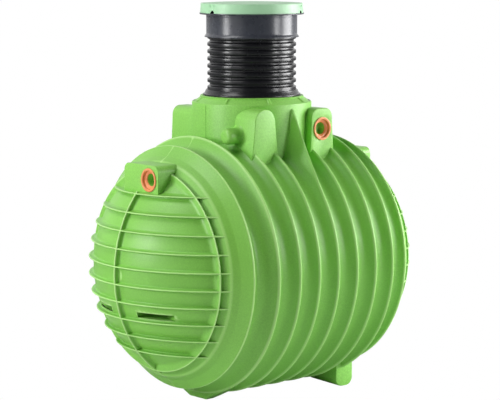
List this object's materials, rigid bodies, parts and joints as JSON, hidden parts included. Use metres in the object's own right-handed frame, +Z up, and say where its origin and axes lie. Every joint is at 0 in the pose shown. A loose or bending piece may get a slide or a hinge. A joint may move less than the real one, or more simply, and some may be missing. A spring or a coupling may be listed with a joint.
{
  "type": "wastewater holding tank",
  "caption": "Ribbed green plastic wastewater holding tank with domed ends, lifting lugs, corrugated access riser, telescopic collar and lid.",
  "frame": {"origin": "on the ground, in the middle of the tank and straight under the access shaft", "axes": "+Z up, X along the tank with the front head at -X, Y across it"},
  "size_m": [2.548, 1.896, 2.865],
  "materials": {
    "green_shell": "satin",
    "orange_eyelet": "satin",
    "black_riser": "satin",
    "grey_collar": "satin",
    "pale_lid": "satin"
  },
  "bodies": {
    "tank": {"right_shoulder_wall": "green_shell", "right_upper_side_wall": "green_shell", "right_lower_side_wall": "green_shell", "right_bilge_wall": "green_shell", "right_keel_wall": "green_shell", "left_shoulder_wall": "green_shell", "left_upper_side_wall": "green_shell", "left_lower_side_wall": "green_shell", "left_bilge_wall": "green_shell", "left_keel_wall": "green_shell", "front_right_crown": "green_shell", "front_left_crown": "green_shell", "rear_right_crown": "green_shell", "rear_left_crown": "green_shell", "front_right_head": "green_shell", "front_left_head": "green_shell", "rear_right_head": "green_shell", "rear_left_head": "green_shell", "front_seam_fin": "green_shell", "rear_seam_fin": "green_shell", "front_lifting_lug": "green_shell", "rear_lifting_lug": "green_shell", "right_neck_wall": "green_shell", "left_neck_wall": "green_shell", "neck_shoulder": "green_shell", "right_neck_buttress": "green_shell", "right_neck_lug": "green_shell", "right_hoop_gusset": "green_shell", "right_pipe_nub": "green_shell", "left_neck_buttress": "green_shell", "left_neck_lug": "green_shell", "left_hoop_gusset": "green_shell", "left_pipe_nub": "green_shell", "rear_right_foot": "green_shell", "rear_left_foot": "green_shell", "front_foot": "green_shell", "front_lug_eyelet": "orange_eyelet", "rear_lug_eyelet": "orange_eyelet", "right_neck_eyelet": "orange_eyelet", "left_neck_eyelet": "orange_eyelet", "riser_pipe": "black_riser", "riser_seal": "black_riser"},
    "collar": {"telescopic_collar": "grey_collar", "lid_frame": "grey_collar"},
    "lid": {"lid": "pale_lid"}
  },
  "joints": [
    {"name": "collar_slide", "type": "slide", "parent": "tank", "child": "collar", "axis": [0, 0, 1], "range_m": [-0.1, 0.06]},
    {"name": "lid_lift", "type": "slide", "parent": "collar", "child": "lid", "axis": [0, 0, 1], "range_m": [0, 0.4]}
  ]
}
